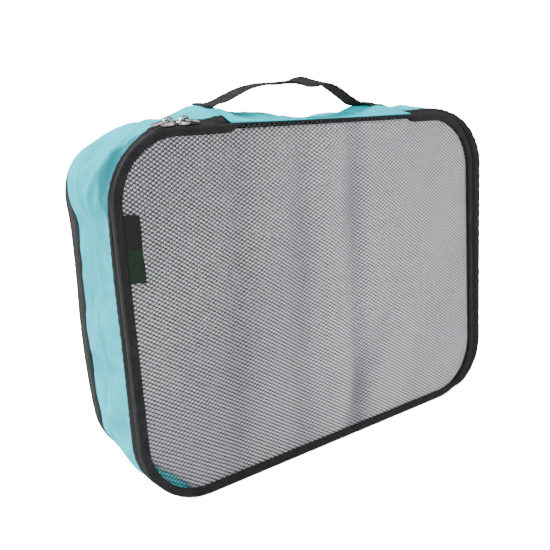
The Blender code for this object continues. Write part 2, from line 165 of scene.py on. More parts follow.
def crown(s, share):
    """Outward swell of the filled top: high beside the handle's feet and at the left corner."""
    s = wrapped(s)
    lean = 1.0 + 0.9 * smooth(0.130, 0.160, -s) - 0.5 * smooth(0.165, 0.205, -s)
    return curve(CROWN, s) * np.sin(np.pi * share ** lean)


def rim(s, depth, t):
    """A point of the zip band, t back from the lid's edge and depth in from its outside."""
    turn = turned(s)
    out = t * np.sin(turn) - depth * np.cos(turn)
    back = t * np.cos(turn) + depth * np.sin(turn)
    return on_floor(shell(s, out, FRONT + back), depth)


FLOOR_GAP = 0.0008                  # the nylon's outside keeps this far off the floor


def on_floor(points, depth):
    """Cloth that would hang below the floor lies on it instead, the tape under the nylon."""
    points[..., 2] = np.maximum(points[..., 2], FLOOR_GAP + depth)
    return points


def ripple(s, share, seed):
    """Smooth unevenness from a few crossing waves, between -1 and 1."""
    s = wrapped(s)
    total = 0.0
    for i in range(5):
        k = 55.0 * 1.55 ** i
        turn = seed * 1.7 + i * 2.399
        total = total + 0.62 ** i * np.sin(k * s * math.cos(turn) + 6.0 * share * math.sin(turn) * 1.3 ** i
                                           + seed * 5.1 + i)
    return total / 2.3


# Creases of the nylon: place along the outline, share of the wall, turn in degrees, half its length,
# half its width, height (a hollow is negative).
CREASES = ((-0.18, 0.1, -2, 0.034, 0.0055, -0.0034), (-0.184, 0.27, -3, 0.034, 0.0036, 0.0026),
           (-0.16, 0.18, 12, 0.022, 0.006, -0.0018), (-0.198, 0.46, 12, 0.024, 0.002, 0.0013),
           (-0.188, 0.62, -10, 0.022, 0.0022, 0.0013), (-0.235, 0.4, 14, 0.034, 0.0034, 0.0009),
           (-0.262, 0.66, -10, 0.04, 0.0036, 0.0007), (-0.305, 0.42, 9, 0.038, 0.0034, 0.0008),
           (-0.345, 0.62, -12, 0.034, 0.004, 0.0009), (-0.385, 0.44, 24, 0.03, 0.0044, -0.0012),
           (-0.118, 0.34, 20, 0.024, 0.004, 0.0012), (-0.098, 0.22, -36, 0.016, 0.003, 0.0016),
           (-0.064, 0.3, 30, 0.022, 0.0034, 0.0014), (-0.036, 0.62, -14, 0.03, 0.004, 0.001),
           (0.02, 0.35, 6, 0.036, 0.004, 0.0009), (0.064, 0.28, -26, 0.022, 0.0034, 0.0013),
           (0.104, 0.32, 24, 0.02, 0.0034, 0.0012), (0.165, 0.45, 8, 0.034, 0.004, 0.0012),
           (0.235, 0.6, -10, 0.04, 0.0036, 0.0009), (0.32, 0.4, 12, 0.04, 0.0036, 0.0009))


def creased(s, share):
    """Soft-crested folds of the cloth, and the small puckers along its two seams."""
    s = wrapped(s)
    rise = 0.0
    for at, row, turn, length, width, height in CREASES:
        x, y = s - at, (share - row) * WALL_END
        cos, sin = math.cos(math.radians(turn)), math.sin(math.radians(turn))
        along, across = (x * cos + y * sin) / length, (y * cos - x * sin) / width
        rise = rise + height * np.exp(-along ** 2) / (1.0 + across ** 2) ** 1.5
    pucker = np.sin(s * 570.0 + 1.5 * np.sin(s * 93.0)) * (0.6 + 0.4 * np.sin(s * 41.0 + 1.0))
    beside = np.exp(-share / 0.07) + np.exp((share - 1.0) / 0.06)
    return rise * np.sin(np.pi * share) ** 0.35 + 0.00045 * pucker * beside * smooth(0.0, 0.03, share)


def wall(s, depth, share):
    """A point of the nylon wall: share 0 at the zip band, 1 at the back binding."""
    turn, width = turned(s), band(s)
    out = width * np.sin(turn) * (1.0 - share) ** 2.2
    start = width * np.cos(turn)
    hump = np.sin(np.pi * share)
    out = out + crown(s, share) + puff(s) * hump + 0.0009 * hump * (ripple(s, share, 1.0) - resting(s))
    out = out + creased(s, share) * (1.0 - resting(s)) - drawn_in(s) * share ** 1.3
    out = out + (1.0 - resting(s)) * slack(s, share)
    y = FRONT + start + (WALL_END - start) * share
    return on_floor(shell(s, out - depth, y), depth)


SLACK = np.zeros((214, 20))         # places round the case by shares of the wall, filled in by crumple()


def slack(s, share):
    """How far the crumpled nylon stands off the plain wall, smoothed between the simulated points."""
    rows, columns = SLACK.shape
    u = (wrapped(s) / (2.0 * HALFWAY)) % 1.0 * rows
    v = np.clip(share, 0.0, 1.0) * (columns - 1)
    total = 0.0
    for i in range(-1, 3):
        for j in range(-1, 3):
            row, column = np.floor(u).astype(int) + i, np.floor(v).astype(int) + j
            weight = spline(u - row) * spline(v - column)
            total = total + weight * SLACK[row % rows, np.clip(column, 0, columns - 1)]
    return total


def spline(away):
    """Cubic spline weight at a distance from its middle."""
    away = np.abs(away)
    near = 2.0 / 3.0 - away ** 2 + away ** 3 / 2.0
    far = np.clip(2.0 - away, 0.0, None) ** 3 / 6.0
    return np.where(away < 1.0, near, far)


def resting(s):
    """1 along the underside, where the cube stands, and 0 elsewhere."""
    return smooth(0.40, 0.445, np.abs(wrapped(s)))


def drawn_in(s):
    """How far the back seam lies in from the outline: most at the left corners."""
    return curve(TAPER, wrapped(s)) + 0.0022 * resting(s)


def puff(s):
    """The filled sides stand out a little."""
    return 0.0016 * between(0.17, 0.24, 0.34, 0.42, np.abs(wrapped(s)))


# ---- meshes ----
def grid_faces(rows, columns, wrap_rows=False, wrap_columns=False):
    i, j = np.meshgrid(np.arange(rows if wrap_rows else rows - 1),
                       np.arange(columns if wrap_columns else columns - 1), indexing="ij")
    i2, j2 = (i + 1) % rows, (j + 1) % columns
    corners = (i * columns + j, i * columns + j2, i2 * columns + j2, i2 * columns + j)
    return np.stack(corners, -1).reshape(-1, 4)


def link_new(name, data):
    item = bpy.data.objects.new(name, data)
    bpy.context.scene.collection.objects.link(item)
    return item


def bead_faces(beads, sections, corners):
    """Faces of separate solids, each a run of equal sections closed at both ends."""
    sides = grid_faces(sections, corners, False, True).tolist()
    last = (sections - 1) * corners
    ends = [list(range(corners)), list(range(last, last + corners))]
    return [[bead * sections * corners + i for i in face] for bead in range(beads) for face in sides + ends]


def disc_faces(levels, count):
    """Rings of faces round a middle point, which comes last."""
    faces = grid_faces(levels, count, False, True).tolist()
    return faces + [[levels * count, i, (i + 1) % count] for i in range(count)]


def run_along(path):
    """Distance along a path at each of its points."""
    steps = np.linalg.norm(np.diff(path, axis=0), axis=1)
    return np.concatenate([[0.0], np.cumsum(steps)])


def make(name, points, faces, skin, weave=None, tidy=True, shade=None):
    """A smooth mesh; weave is its (along, across) cloth coordinate in metres, shade how much painted shade
    its material mixes in, in its hollows.
    """
    mesh = bpy.data.meshes.new(name)
    mesh.from_pydata(np.asarray(points).reshape(-1, 3).tolist(), [], [list(f) for f in faces])
    if weave is not None:
        flat = np.zeros((len(mesh.vertices), 3))
        flat[:, :2] = np.asarray(weave).reshape(-1, 2)
        mesh.attributes.new("weave", "FLOAT_VECTOR", "POINT").data.foreach_set("vector", flat.ravel())
    if shade is not None:
        hollow = np.ravel(shade).astype(float)
        mesh.attributes.new("shade", "FLOAT", "POINT").data.foreach_set("value", hollow)
    if tidy:
        work = bmesh.new()
        work.from_mesh(mesh)
        bmesh.ops.recalc_face_normals(work, faces=work.faces)
        work.to_mesh(mesh)
        work.free()
    mesh.shade_smooth()
    mesh.set_sharp_from_angle(angle=math.radians(50.0))
    item = link_new(name, mesh)
    mesh.materials.append(skin)
    return item


def loft(name, rings, skin, closed=False, weave=None):
    """A closed solid through equal rings; an open one is capped by strips across its ends."""
    rows, columns = rings.shape[:2]
    faces = grid_faces(rows, columns, closed, True).tolist()
    if not closed:
        for row in (0, rows - 1):
            base = row * columns
            for i in range(columns // 2 - 1):
                faces.append([base + i, base + i + 1, base + columns - 2 - i, base + columns - 1 - i])
    return make(name, rings, faces, skin, weave)


def ribbon(name, skin, place, stations, outer, inner, closed=False):
    """A band swept round the case. outer and inner are lines of (depth, t) pairs, of one length."""
    line = np.array(list(outer) + list(reversed(inner)))
    s = np.asarray(stations)[:, None]
    rings = place(s, line[None, :, 0], line[None, :, 1])
    steps = np.cumsum(np.hypot(*np.diff(line, axis=0, prepend=line[:1]).T))
    weave = joined(s, steps[None, :])
    return loft(name, rings, skin, closed, weave)


def span(first, last, step):
    return np.linspace(first, last, max(2, int(round(abs(last - first) / step)) + 1))


def the_long_way(left, right, step):
    """Stations from the top's left seam down the left side, along the bottom and up to the right."""
    return span(left, right - 2.0 * HALFWAY, step)


def all_round(step):
    count = int(round(2.0 * HALFWAY / step))
    return np.arange(count) * 2.0 * HALFWAY / count


def modify(item, kind, **settings):
    modifier = item.modifiers.new(kind.lower(), kind)
    for key, value in settings.items():
        setattr(modifier, key, value)
    return modifier


def apply_modifiers(item):
    depsgraph = bpy.context.evaluated_depsgraph_get()
    mesh = bpy.data.meshes.new_from_object(item.evaluated_get(depsgraph), depsgraph=depsgraph)
    item.modifiers.clear()
    old, item.data = item.data, mesh
    bpy.data.meshes.remove(old)


# A bead of thread: share of its length from the middle, scale and height at each section.
BEAD = ((-0.5, 0.35, -1.4), (-0.38, 0.8, -0.2), (0.0, 1.0, 0.35), (0.38, 0.8, -0.2), (0.5, 0.35, -1.4))


def stitches(name, skin, path, lift, length=0.0023, gap=0.0009, radius=0.00022):
    """A row of thread beads along a path of points; lift is the outward direction at each."""
    path, lift = np.asarray(path), np.asarray(lift)
    run = run_along(path)
    count = int(run[-1] / (length + gap))
    centres = (np.arange(count) + 0.5) * run[-1] / count
    around = np.arange(6) * math.pi / 3.0
    rings = []
    for u, scale, height in BEAD:
        at = centres + u * length
        p, ahead, behind, up = (np.stack([np.interp(at + shift, run, line[:, k]) for k in range(3)], -1)
                                for line, shift in ((path, 0.0), (path, 1e-4), (path, -1e-4), (lift, 0.0)))
        up /= np.linalg.norm(up, axis=1, keepdims=True)
        side = np.cross(ahead - behind, up)
        side /= np.linalg.norm(side, axis=1, keepdims=True)
        turn = (np.cos(around)[None, :, None] * side[:, None] + np.sin(around)[None, :, None] * up[:, None])
        rings.append((p + up * radius * height)[:, None] + radius * scale * turn)
    points = np.stack(rings, 1)                        # bead, section, corner, xyz
    return make(name, points, bead_faces(count, len(BEAD), len(around)), skin)


# ---- materials ----
def new_skin(name, roughness, **inputs):
    """A new material with its node tree, its shader and the object's own coordinates."""
    skin = bpy.data.materials.new(name)
    skin.use_nodes = True
    shader = skin.node_tree.nodes["Principled BSDF"]
    shader.inputs["Roughness"].default_value = roughness
    for key, value in inputs.items():
        shader.inputs[key.replace("_", " ")].default_value = value
    place = node(skin.node_tree, "TexCoord").outputs["Object"]
    return skin, skin.node_tree, shader, place


def node(tree, kind, sockets=None, **settings):
    made = tree.nodes.new("ShaderNode" + kind)
    for key, value in settings.items():
        setattr(made, key, value)
    for key, value in (sockets or {}).items():
        if isinstance(value, bpy.types.NodeSocket):
            tree.links.new(value, made.inputs[key])
        else:
            made.inputs[key].default_value = value
    return made


def maths(tree, operation, *values):
    return node(tree, "Math", dict(enumerate(values)), operation=operation).outputs[0]


def noise(tree, place, scale, detail=3.0, rough=0.55):
    sockets = {"Vector": place, "Scale": scale, "Detail": detail, "Roughness": rough}
    return node(tree, "TexNoise", sockets).outputs[0]


def ramp(tree, factor, low, high, to_low=0.0, to_high=1.0):
    sockets = {0: factor, 1: low, 2: high, 3: to_low, 4: to_high}
    return node(tree, "MapRange", sockets).outputs[0]


def tint(tree, factor, first, second):
    """A mix of two tones; either may be what another node gives."""
    first, second = (tone if isinstance(tone, bpy.types.NodeSocket) else (*tone, 1.0)
                     for tone in (first, second))
    return node(tree, "Mix", {0: factor, 6: first, 7: second}, data_type="RGBA").outputs[2]


def paint(tree, shader, tone, roughness=None):
    tree.links.new(tone, shader.inputs["Base Color"])
    if roughness:
        tree.links.new(roughness, shader.inputs["Roughness"])


def weave_of(tree):
    attribute = node(tree, "Attribute", attribute_name="weave")
    parts = node(tree, "SeparateXYZ", {0: attribute.outputs["Vector"]})
    return parts.outputs[0], parts.outputs[1]


# The shade attribute: how much painted shade a material mixes into its colour.
def painted_shade_of(tree):
    return node(tree, "Attribute", attribute_name="shade").outputs["Fac"]


def grey(tree, level):
    return node(tree, "CombineColor", {0: level, 1: level, 2: level}).outputs[0]


def wave(tree, value, pitch, shift=None):
    angle = maths(tree, "MULTIPLY", value, 2.0 * math.pi / pitch)
    if shift is not None:
        angle = maths(tree, "ADD", angle, shift)
    return maths(tree, "SINE", angle)


def bump(tree, shader, height, distance, strength=1.0):
    made = node(tree, "Bump", {"Height": height, "Distance": distance, "Strength": strength})
    tree.links.new(made.outputs[0], shader.inputs["Normal"])


def plain_weave(tree, pitch):
    """Threads that pass over and under each other, as a height."""
    along, across = weave_of(tree)
    return maths(tree, "MULTIPLY", wave(tree, along, pitch), wave(tree, across, pitch))


def nylon_skin():
    """Light taffeta: a fine plain weave, a soft sheen, tones that drift over the cloth, and painted shade,
    a deeper teal, where the shade attribute marks hollows.
    """
    skin, tree, shader, place = new_skin("nylon_cloth", 0.42, Specular_IOR_Level=0.10,
                                  Specular_Tint=(0.25, 0.95, 1.0, 1.0))
    drift = ramp(tree, noise(tree, place, 14.0, 4.0), 0.32, 0.68)
    tone = tint(tree, drift, (0.000, 0.500, 0.610), (0.001, 0.590, 0.700))
    # Painted shade: a deeper teal mixed in by the shade attribute, beside the zip at the upper left and in
    # the creases.
    tone = tint(tree, painted_shade_of(tree), tone, (0.000, 0.200, 0.245))
    paint(tree, shader, tone, ramp(tree, noise(tree, place, 60.0), 0.3, 0.7, 0.36, 0.50))
    crumple = maths(tree, "MULTIPLY", noise(tree, place, 75.0, 4.0, 0.6), 5.0)
    height = maths(tree, "ADD", crumple, plain_weave(tree, 0.00062))
    bump(tree, shader, height, 0.00012, 0.8)
    return skin


def tape_skin(name, dark, light, rib, chevron):
    """Black woven tape: ribs across it, bent into chevrons, with worn grey tops."""
    skin, tree, shader, place = new_skin(name, 0.78, Specular_IOR_Level=0.25)
    along, across = weave_of(tree)
    fold = maths(tree, "PINGPONG", across, chevron)
    ribs = wave(tree, maths(tree, "ADD", along, fold), rib)
    worn = ramp(tree, noise(tree, place, 90.0, 5.0, 0.65), 0.35, 0.75)
    lit = maths(tree, "MULTIPLY_ADD", ribs, 0.22, worn)
    paint(tree, shader, tint(tree, lit, dark, light))
    fuzz = maths(tree, "MULTIPLY", noise(tree, place, 900.0, 2.0), 1.4)
    bump(tree, shader, maths(tree, "ADD", ribs, fuzz), 0.00010, 0.9)
    return skin


def coil_skin():
    skin, tree, shader, place = new_skin("coil_nylon", 0.5, Specular_IOR_Level=0.15)
    rub = ramp(tree, noise(tree, place, 240.0), 0.4, 0.75)
    tone = tint(tree, rub, (0.002, 0.002, 0.0025), (0.006, 0.006, 0.007))
    paint(tree, shader, tone, ramp(tree, rub, 0.0, 1.0, 0.45, 0.60))
    bump(tree, shader, noise(tree, place, 1500.0), 0.00005, 0.5)
    return skin


def thread_skin(name, dark, light, scale=160.0):
    skin, tree, shader, place = new_skin(name, 0.62, Specular_IOR_Level=0.30)
    tone = ramp(tree, noise(tree, place, scale), 0.35, 0.70)
    paint(tree, shader, tint(tree, tone, dark, light))
    bump(tree, shader, noise(tree, place, 2600.0, 1.0), 0.00008, 0.7)
    return skin


def liner_skin():
    """Pale matt sheet behind the net, with painted shade where the shade attribute marks dim places."""
    skin, tree, shader, place = new_skin("liner_cloth", 0.85)
    tone = ramp(tree, noise(tree, place, 22.0, 4.0), 0.3, 0.7)
    tone = tint(tree, tone, (0.90, 0.905, 0.93), (0.97, 0.97, 0.99))
    # Painted shade: a grey mixed in by the shade attribute, along the folds, to the left and near the
    # floor.
    tone = tint(tree, painted_shade_of(tree), tone, (0.28, 0.285, 0.31))
    paint(tree, shader, tone)
    crumple = maths(tree, "MULTIPLY", noise(tree, place, 45.0, 4.0), 4.0)
    bump(tree, shader, maths(tree, "ADD", crumple, plain_weave(tree, 0.0007)), 0.00015, 0.6)
    return skin


def webbing_skin():
    """Charcoal webbing: broken chevrons, with darker rolled edges, and a painted warm tint on the sides
    that face down.
    """
    skin, tree, shader, place = new_skin("webbing_weave", 0.85, Specular_IOR_Level=0.12)
    along, across = weave_of(tree)
    fold = maths(tree, "PINGPONG", across, 0.0034)
    ribs = wave(tree, maths(tree, "MULTIPLY_ADD", fold, 0.8, along), 0.0011)
    cords = wave(tree, across, 0.0009)
    pattern = maths(tree, "MULTIPLY_ADD", cords, 0.5, ribs)
    worn = ramp(tree, noise(tree, place, 70.0, 5.0), 0.3, 0.75)
    lit = maths(tree, "MULTIPLY_ADD", pattern, 0.16, worn)
    tone = tint(tree, lit, (0.0085, 0.0078, 0.0078), (0.031, 0.028, 0.028))
    # Painted tint: a warm colour on the sides that face down, against the teal light that the nylon bounces
    # onto the strap's underside.
    facing = node(tree, "SeparateXYZ", {0: node(tree, "NewGeometry").outputs["Normal"]}).outputs[2]
    tone = tint(tree, ramp(tree, facing, 0.1, -0.6), tone, (0.060, 0.018, 0.016))
    paint(tree, shader, tone)
    bump(tree, shader, pattern, 0.00016, 1.0)
    return skin


def nickel_skin():
    skin, tree, shader, place = new_skin("bright_nickel", 0.28, Metallic=1.0)
    wear = ramp(tree, noise(tree, place, 420.0, 5.0, 0.7), 0.35, 0.70)
    tone = tint(tree, wear, (0.17, 0.165, 0.155), (0.46, 0.445, 0.42))
    paint(tree, shader, tone, ramp(tree, wear, 0.0, 1.0, 0.38, 0.20))
    bump(tree, shader, noise(tree, place, 1900.0, 2.0), 0.00004, 0.5)
    return skin


def label_skin(split):
    """Woven label without lettering: black above, bottle green below."""
    skin, tree, shader, place = new_skin("label_weave", 0.60, Specular_IOR_Level=0.25)
    height = node(tree, "SeparateXYZ", {0: place}).outputs[2]
    upper = ramp(tree, height, split - 0.0003, split + 0.0003)
    tone = tint(tree, upper, (0.001, 0.014, 0.004), (0.003, 0.003, 0.0035))
    speckle = ramp(tree, noise(tree, place, 500.0, 2.0), 0.3, 0.7, 0.7, 1.3)
    grain = grey(tree, speckle)
    shade = node(tree, "Mix", {0: 1.0, 6: tone, 7: grain}, data_type="RGBA", blend_type="MULTIPLY")
    paint(tree, shader, shade.outputs[2])
    bump(tree, shader, plain_weave(tree, 0.0005), 0.00010, 0.9)
    return skin


SKINS = {
    "nylon": nylon_skin(),
    "tape": tape_skin("zip_tape_weave", (0.0025, 0.0025, 0.003), (0.010, 0.0105, 0.0115), 0.0009, 0.0016),
    "binding": tape_skin("binding_weave", (0.003, 0.003, 0.0035), (0.014, 0.0145, 0.016), 0.0007, 0.0045),
    "coil": coil_skin(),
    "net": thread_skin("net_thread", (0.016, 0.017, 0.021), (0.044, 0.046, 0.054)),
    "thread": thread_skin("black_thread", (0.004, 0.004, 0.0045), (0.014, 0.014, 0.016)),
    "seam": thread_skin("nylon_thread", (0.10, 0.50, 0.58), (0.16, 0.62, 0.70)),
    "liner": liner_skin(),
    "webbing": webbing_skin(),
    "nickel": nickel_skin(),
}


# ---- nylon ----
WALL_ROWS = 48
NYLON = 0.0006
WALL_STEP = 0.0017                  # distance between the wall's stations
SLACK_LIMIT = 0.0030                # most that a crumple may stand in or out
SWELL = 6                           # points each way over which the slow swell is taken out
CLOTH_FRAMES = 24
CLOTH = {"quality": 6, "mass": 0.05, "tension_stiffness": 15.0, "compression_stiffness": 15.0,
         "shear_stiffness": 5.0, "bending_stiffness": 0.02, "shrink_min": -0.06, "air_damping": 2.0,
         "vertex_group_mass": "sewn"}


def crumple():
    """Lets the nylon band, cut a little large, buckle between its sewn edges, and keeps the shape."""
    rows, columns = SLACK.shape
    s = np.arange(rows)[:, None] * 2.0 * HALFWAY / rows
    share = np.linspace(0.0, 1.0, columns)[None, :]
    start = wall(s, 0.0, share)
    outward = wall(s, -0.001, share) - start
    outward /= np.linalg.norm(outward, axis=-1, keepdims=True)
    cloth = make("crumple", start, grid_faces(rows, columns, True), SKINS["nylon"], tidy=False)
    seam = np.minimum(np.abs(wrapped(s - SEAM_LEFT)), np.abs(wrapped(s - SEAM_RIGHT))) < 0.003
    held = np.broadcast_to((share == 0.0) | (share == 1.0) | seam | (resting(s) > 0.5), (rows, columns))
    cloth.vertex_groups.new(name="sewn").add(np.flatnonzero(held).tolist(), 1.0, "REPLACE")
    modifier = modify(cloth, "CLOTH")
    modifier.collision_settings.use_collision = False
    for key, value in CLOTH.items():
        setattr(modifier.settings, key, value)
    modifier.settings.effector_weights.gravity = 0.0
    modifier.point_cache.frame_end = CLOTH_FRAMES
    scene = bpy.context.scene
    for frame_number in range(1, CLOTH_FRAMES + 1):
        scene.frame_set(frame_number)
    shape = cloth.evaluated_get(bpy.context.evaluated_depsgraph_get()).data
    moved = np.empty(rows * columns * 3)
    shape.vertices.foreach_get("co", moved)
    off = ((moved.reshape(start.shape) - start) * outward).sum(-1)
    off = off - sum(np.roll(off, shift, 0) for shift in range(-SWELL, SWELL + 1)) / (2 * SWELL + 1)
    SLACK[:] = SLACK_LIMIT * np.tanh(off / SLACK_LIMIT) * (1.0 - smooth(0.72, 0.90, share))
    bpy.data.objects.remove(cloth)
    scene.frame_set(1)


def painted_hollow_shade(s, share):
    """How much painted shade the nylon gets where it lies in the shade: beside the zip at the upper left,
    and in its creases and crumples.
    """
    s = wrapped(s)
    reach = 0.23 * between(-0.220, -0.180, -0.165, -0.132, s) + 0.02
    corner = (1.0 - smooth(0.80, 1.02, share / reach)) * between(-0.222, -0.208, -0.156, -0.132, s)
    fold = np.clip(-creased(s, share) / 0.0016, 0.0, 1.0) + np.clip(-slack(s, share) / 0.0020, 0.0, 0.7)
    return np.clip(0.95 * corner + 0.34 * fold, 0.0, 1.0)


def nylon_wall(name, stations):
    """Outer face of a nylon wall between two stations, thickened inwards."""
    share = np.linspace(0.0, 1.0, WALL_ROWS)[None, :]
    s = np.asarray(stations)[:, None]
    points = wall(s, 0.0, share)
    weave = joined(s, share * (WALL_END - BAND_LEFT))
    item = make(name, points, grid_faces(len(stations), WALL_ROWS), SKINS["nylon"], weave, False,
                painted_hollow_shade(s, share))
    modify(item, "SOLIDIFY", thickness=NYLON, offset=-1.0)
    return item


def side_cloth():
    item = nylon_wall("side_cloth", the_long_way(SEAM_LEFT, SEAM_RIGHT, WALL_STEP))
    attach(item, "case")
    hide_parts("side_gusset")
    return item


HINGE_START = 0.0009                # the hinge cloth begins here, back from the lid's edge


def hinge_cloth():
    """The piece of nylon that the lid hinges on; it runs forward to the lid's edge."""
    s = span(SEAM_LEFT, SEAM_RIGHT, WALL_STEP)[:, None]
    front = HINGE_START + (band(s) - HINGE_START) * np.linspace(0.0, 1.0, 6)[None, :-1]
    share = np.linspace(0.0, 1.0, WALL_ROWS)[None, :]
    points = np.concatenate([rim(s, 0.0, front), wall(s, 0.0, share)], 1)
    t = np.concatenate([front, band(s) + share * (WALL_END - band(s))], 1)
    weave = joined(s, t)
    shade = np.concatenate([np.zeros((len(s), front.shape[1])), painted_hollow_shade(s, share)], 1)
    item = make("hinge_cloth", points, grid_faces(len(s), t.shape[1]), SKINS["nylon"], weave, False, shade)
    modify(item, "SOLIDIFY", thickness=NYLON, offset=-1.0)
    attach(item, "case")
    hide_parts("hinge_gusset")
    return item


# ---- front net ----
# Folds that run up the lid: place along it at half height, lean, width, height (a hollow is negative).
FOLDS = ((-0.088, 0.10, 0.012, -0.0022), (-0.030, 0.06, 0.012, -0.0026), (0.027, 0.03, 0.010, -0.0040),
         (0.000, 0.03, 0.012, 0.0016), (0.105, 0.45, 0.020, 0.0016), (0.078, 0.55, 0.014, -0.0020))


def front_relief(x, z):
    """How far the lid's cloth stands out (+) or in (-) at a place on the front."""
    edge = np.clip(inside(x, z) / 0.030, 0.0, 1.0)
    sag = 0.0012 * np.sin(21.0 * x + 3.0 * z + 0.6) + 0.0008 * np.sin(47.0 * x - 29.0 * z + 1.9)
    for at, lean, width, height in FOLDS:
        away = (x - at - lean * (z - MIDDLE)) / width
        sag = sag + height * np.exp(-away * away)
    return sag * edge * edge * (3.0 - 2.0 * edge)


def painted_stuffing_shade(x, z):
    """Painted shade on the pale filling, how dim it looks: less to the right, more along the folds and near
    the floor.
    """
    total = 0.20 - 0.24 * smooth(-0.13, 0.04, x) + 0.08 * (1.0 - smooth(0.03, 0.12, z))
    for at, lean, width, height in FOLDS:
        away = (x - at - lean * (z - MIDDLE)) / (1.1 * width)
        total = total - 110.0 * height * np.exp(-away * away)
    return np.clip(total + 0.10 * np.sin(29.0 * x - 34.0 * z + 1.0), 0.0, 0.9)


def inside(x, z):
    """Distance in from the outline, for places on the front."""
    ax, az = np.abs(x) - CENTRE_X, np.abs(z - MIDDLE) - (CENTRE_HIGH - MIDDLE)
    corner = np.hypot(np.maximum(ax, 0.0), np.maximum(az, 0.0))
    return RADIUS - np.where((ax > 0) & (az > 0), corner, np.maximum(ax, az))


NET_PITCH, NET_ROW = 0.0044, 0.0015
HOLE, HOLE_WIDENS = 0.635, 0.050     # hole's share of the half pitch, each way, and its rise to the right
THREAD_RISE = 0.00022
NET_EDGE = 0.0036                   # the net runs in under the binding to here


def net():
    """Knitted net: rhombic cells between raised threads, each with an eight-sided hole."""
    columns = int(2 * HALF / NET_PITCH) + 2
    rows = int(HEIGHT / NET_ROW) + 2
    row, column = np.meshgrid(np.arange(rows), np.arange(columns), indexing="ij")
    x = (column - columns / 2.0 + 0.5 * (row % 2)) * NET_PITCH
    z = MIDDLE + (row - rows / 2.0) * NET_ROW
    by_hinge = (z > 0.2) & (x > SEAM_LEFT + 0.006) & (x < SEAM_RIGHT - 0.006)
    keep = inside(x, z) > np.where(by_hinge, 0.0008, NET_EDGE)
    x, z = x[keep], z[keep]
    half = NET_PITCH / 2.0
    corners = np.array([(half, 0.0), (0.0, NET_ROW), (-half, 0.0), (0.0, -NET_ROW)])
    turn = np.arange(8) * math.pi / 4.0
    ring = np.stack([np.cos(turn) * half, np.sin(turn) * NET_ROW], -1)
    ring[1::2] *= 0.86
    ring = ring[None] * (HOLE + HOLE_WIDENS * smooth(-0.14, 0.05, x))[:, None, None]
    centre = np.stack([x, z], -1)[:, None, :]
    knots = (centre + corners[None]).reshape(-1, 2)
    key = np.round(knots / [half, NET_ROW]).astype(int)
    _, first, index = np.unique(key, axis=0, return_index=True, return_inverse=True)
    knots, index = knots[first], index.reshape(-1, 4)
    holes = (centre + ring).reshape(-1, 2)
    flat = np.concatenate([knots, holes])
    rise = np.concatenate([np.full(len(knots), THREAD_RISE), np.zeros(len(holes))])
    y = FRONT + 0.0009 - rise - front_relief(flat[:, 0], flat[:, 1])
    points = np.stack([flat[:, 0], y, flat[:, 1]], -1)
    hole = len(knots) + np.arange(len(x) * 8).reshape(-1, 8)
    faces = []
    for k in range(4):
        a, b = index[:, k], index[:, (k + 1) % 4]
        h0, h1, h2 = hole[:, 2 * k], hole[:, 2 * k + 1], hole[:, (2 * k + 2) % 8]
        faces += np.stack([a, b, h1, h0], -1).tolist() + np.stack([b, h2, h1], -1).tolist()
    item = make("net", points, faces, SKINS["net"], tidy=False)
    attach(item, "lid")
    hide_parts("net_panel")
    return item


def front_disc(name, skin, inset, y_shift, short, step=0.0035):
    """A sheet that follows the front's outline and relief, and ends short of the lower left corner."""
    s = all_round(step)
    side, cx, cz, angle = outline(s)
    rings = []
    levels = np.concatenate([np.linspace(0.0, 0.8, 40), np.linspace(0.82, 1.0, 10)])
    reach = RADIUS - inset - short * between(-0.440, -0.408, -0.400, -0.366, wrapped(s))
    edge_x = side * (cx + reach * np.cos(angle))
    edge_z = cz + reach * np.sin(angle)
    for level in levels[1:]:
        x, z = edge_x * level, MIDDLE + (edge_z - MIDDLE) * level
        rings.append(np.stack([x, FRONT + y_shift - front_relief(x, z), z], -1))
    points = np.stack(rings)                               # level, station, xyz
    relief = float(front_relief(np.array(0.0), np.array(MIDDLE)))
    verts = np.concatenate([points.reshape(-1, 3), [[0.0, FRONT + y_shift - relief, MIDDLE]]])
    shade = painted_stuffing_shade(verts[:, 0], verts[:, 2])
    return make(name, verts, disc_faces(len(rings), len(s)), skin, verts[:, [0, 2]], False, shade)


SHEET = 0.0003                      # thickness of the liner and of the turned edge
LINER_BACK, LINER_SHORT = 0.0024, 0.0085


def liner():
    item = front_disc("liner", SKINS["liner"], NET_EDGE, LINER_BACK, LINER_SHORT)
    modify(item, "SOLIDIFY", thickness=SHEET, offset=0.0)
    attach(item, "lid")
    return item


def turned_edge():
    """Strip of nylon that shows through the net at the lower left, past the pale filling."""
    s = span(-0.364, -0.444, 0.003)[:, None]
    depth = np.linspace(0.0034, 0.0136, 8)[None, :]
    points = shell(s, -depth, FRONT + 0.0040)
    points[..., 1] -= front_relief(points[..., 0], points[..., 2])
    weave = joined(s, depth)
    item = make("turned_edge", points, grid_faces(len(s), 8), SKINS["nylon"], weave, False)
    modify(item, "SOLIDIFY", thickness=SHEET, offset=0.0)
    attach(item, "lid")


# ---- bindings, tapes and coils ----
TAPE_STEP, STITCH_STEP = 0.003, 0.002   # distances between the stations of tapes and of stitch rows
EDGE_FLAT = 0.0014                  # the lid's binding has turned with the band this far behind the edge


